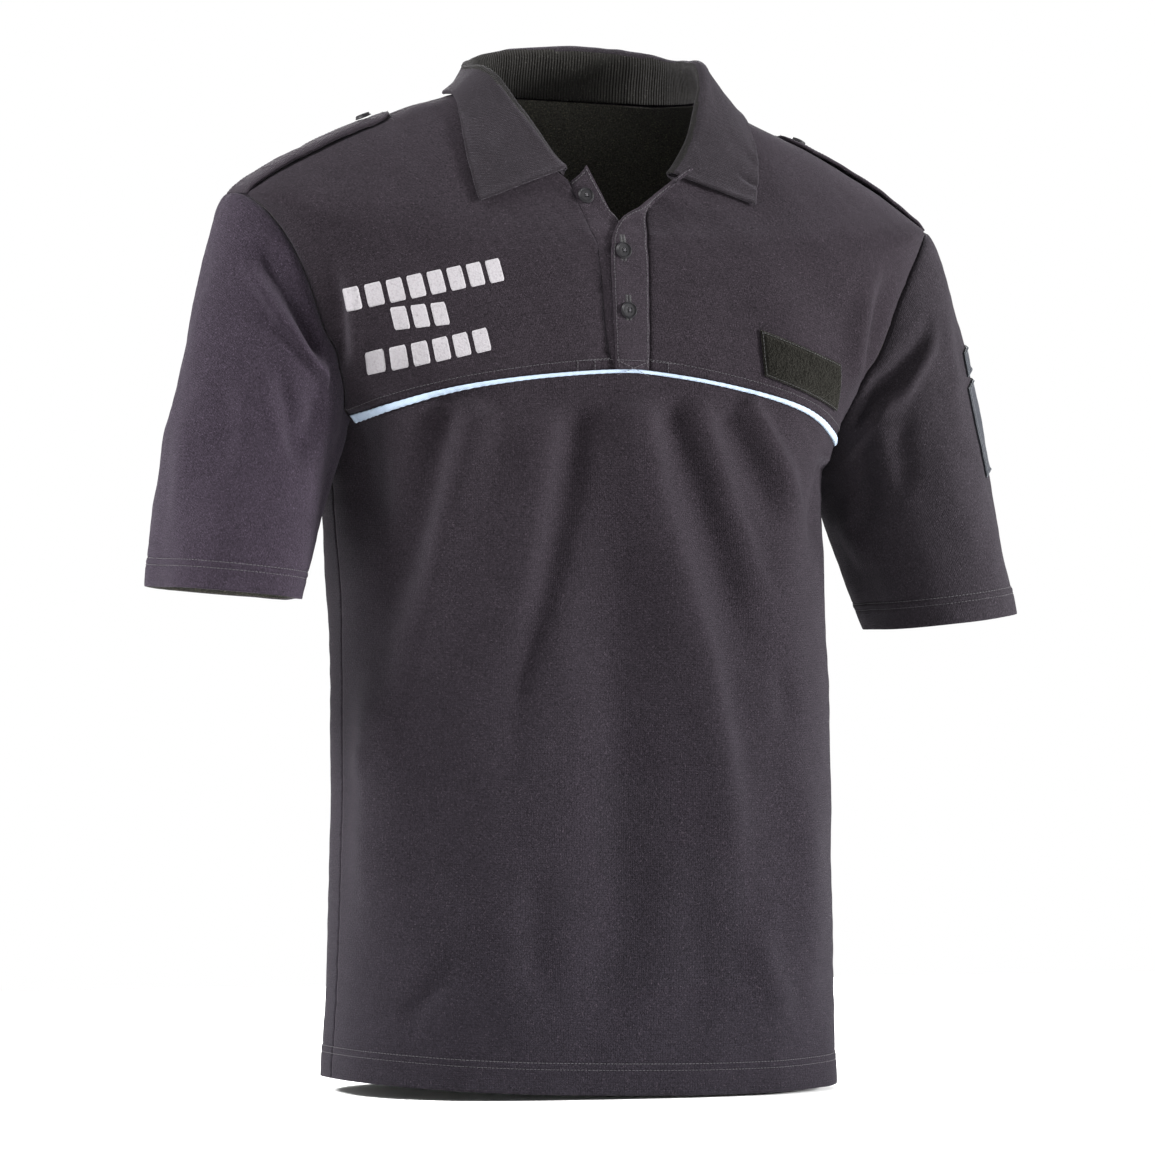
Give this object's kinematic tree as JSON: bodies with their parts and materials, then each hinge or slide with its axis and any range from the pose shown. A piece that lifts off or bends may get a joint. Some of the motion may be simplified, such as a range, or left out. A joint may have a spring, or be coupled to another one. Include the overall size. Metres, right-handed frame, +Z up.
{
  "type": "short-sleeved uniform polo shirt",
  "caption": "Dark knit short-sleeved uniform polo shirt, filled out as worn, with a folded rib collar, open buttoned placket, piped chest seam and shoulder straps.",
  "frame": {"origin": "middle of the neck opening at the height of the side neck points, where the wearer's neck and shoulders hold the garment up", "axes": "+Z up along the body, the garment's longest way; +X to the wearer's left, through the sleeves; the front faces -Y, and front to back is the shortest way"},
  "size_m": [0.6592, 0.2814, 0.762],
  "materials": {
    "cotton_knit": "matte",
    "rib_knit": "matte",
    "piping_tape": "satin",
    "loop_pile": "matte",
    "button_resin": "satin",
    "badge_twill": "matte"
  },
  "bodies": {
    "root": {"front_panel": "cotton_knit", "back_panel": "cotton_knit", "yoke_right": "cotton_knit", "yoke_left": "cotton_knit", "sleeve_right": "cotton_knit", "sleeve_left": "cotton_knit", "placket_under": "cotton_knit", "placket_over": "cotton_knit", "epaulette_right": "cotton_knit", "epaulette_left": "cotton_knit", "collar": "rib_knit", "piping": "piping_tape", "name_panel": "loop_pile", "button_top": "button_resin", "button_middle": "button_resin", "button_bottom": "button_resin", "epaulette_button_right": "button_resin", "epaulette_button_left": "button_resin", "sleeve_tab": "badge_twill", "sleeve_badge": "badge_twill"}
  },
  "joints": []
}
